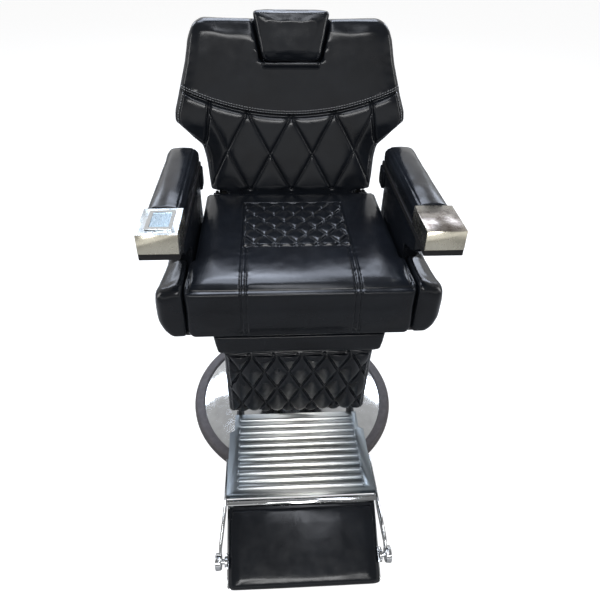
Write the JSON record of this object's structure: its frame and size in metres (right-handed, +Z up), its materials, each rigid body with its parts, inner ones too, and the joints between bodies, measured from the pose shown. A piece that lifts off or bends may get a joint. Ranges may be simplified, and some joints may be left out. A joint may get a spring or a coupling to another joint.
{
  "type": "hydraulic barber chair",
  "caption": "Barber chair: disc base with foot pump, lifting swivel seat, padded arms with chrome caps, reclining back with sliding headrest, swing-up leg rest with fold-over footrest.",
  "frame": {"origin": "on the floor under the middle of the pump column", "axes": "+Z up along the column, -Y towards the footrest, +X to the sitter's left"},
  "size_m": [0.638, 1.0413, 1.0462],
  "materials": {
    "black_leather": "gloss",
    "chrome": "polished",
    "steel": "satin",
    "dark_steel": "satin",
    "cast": "painted",
    "rubber": "matt",
    "black_rubber": "matt",
    "black_board": "painted",
    "bronze": "satin"
  },
  "bodies": {
    "base": {"base_plate": "cast", "base_rim": "rubber", "base_dome": "chrome", "pump_cylinder": "cast", "pump_bolts": "steel", "cylinder_gland": "black_rubber", "column_cover": "chrome", "pedal_pin": "steel"},
    "pedal": {"pedal_lever": "chrome", "pedal_pad": "black_rubber"},
    "ram": {"pump_ram": "chrome", "ram_hub": "steel", "thrust_washer": "bronze", "swivel_nut": "steel"},
    "seat": {"swivel_plate": "steel", "seat_frame": "dark_steel", "seat_board": "black_board", "seat_cushion": "black_leather", "bolster_right": "black_leather", "bolster_left": "black_leather", "seat_skirt": "black_leather", "arm_panel_right": "black_leather", "arm_panel_left": "black_leather", "arm_bracket_right": "chrome", "arm_bracket_left": "chrome", "arm_board_right": "black_board", "arm_board_left": "black_board", "arm_pad_right": "black_leather", "arm_pad_left": "black_leather", "arm_block_right": "black_leather", "arm_block_left": "black_leather", "arm_cap_right": "chrome", "arm_cap_left": "chrome", "ashtray_cup": "chrome", "ashtray_pin": "steel", "back_hinge_right": "dark_steel", "back_hinge_left": "dark_steel", "back_pins": "steel", "legrest_pins": "steel"},
    "lid": {"ashtray_lid": "chrome"},
    "recline_handle": {"recline_lever": "chrome", "lever_grip": "black_rubber"},
    "backrest": {"back_cushion": "black_leather", "back_board": "black_board", "back_cover": "black_leather", "back_brackets": "dark_steel", "headrest_guides": "steel"},
    "headrest": {"headrest_posts": "chrome", "headrest_pad": "black_leather"},
    "legrest": {"legrest_frame": "dark_steel", "calf_board": "black_board", "calf_pad": "black_leather", "foot_plate": "chrome", "side_arm_right": "chrome", "side_arm_left": "chrome", "flip_pins": "chrome"},
    "footrest": {"flip_tray": "chrome", "flip_pad": "black_leather"}
  },
  "joints": [
    {"name": "pedal_press", "type": "hinge", "parent": "base", "child": "pedal", "pos_m": [0, 0.054, 0.088], "axis": [-1, 0, 0], "range_deg": [0, 12], "stiffness_Nm_per_rad": 6, "springref_deg": -20.05},
    {"name": "lift", "type": "slide", "parent": "base", "child": "ram", "axis": [0, 0, 1], "range_m": [0, 0.15]},
    {"name": "swivel", "type": "hinge", "parent": "ram", "child": "seat", "pos_m": [0, 0, 0.429], "axis": [0, 0, 1], "continuous": true},
    {"name": "recline", "type": "hinge", "parent": "seat", "child": "backrest", "pos_m": [0, 0.262, 0.575], "axis": [-1, 0, 0], "range_deg": [0, 50]},
    {"name": "headrest_slide", "type": "slide", "parent": "backrest", "child": "headrest", "axis": [0, 0.2419, 0.9703], "range_m": [0, 0.12]},
    {"name": "legrest_swing", "type": "hinge", "parent": "seat", "child": "legrest", "pos_m": [0, -0.22214, 0.44779], "axis": [-1, 0, 0], "range_deg": [0, 50]},
    {"name": "footrest_flip", "type": "hinge", "parent": "legrest", "child": "footrest", "pos_m": [0, -0.55463, 0.08737], "axis": [1, 0, 0], "range_deg": [0, 150]},
    {"name": "ashtray_lid_hinge", "type": "hinge", "parent": "seat", "child": "lid", "pos_m": [-0.277, -0.18213, 0.78526], "axis": [-1, 0, 0], "range_deg": [0, 95]},
    {"name": "recline_release", "type": "hinge", "parent": "seat", "child": "recline_handle", "pos_m": [0.216, 0.1, 0.484], "axis": [-1, 0, 0], "range_deg": [0, 12], "stiffness_Nm_per_rad": 3, "springref_deg": -17.19}
  ],
  "couplings": [
    {"joint": "legrest_swing", "follows": "recline", "ratio": 1}
  ]
}
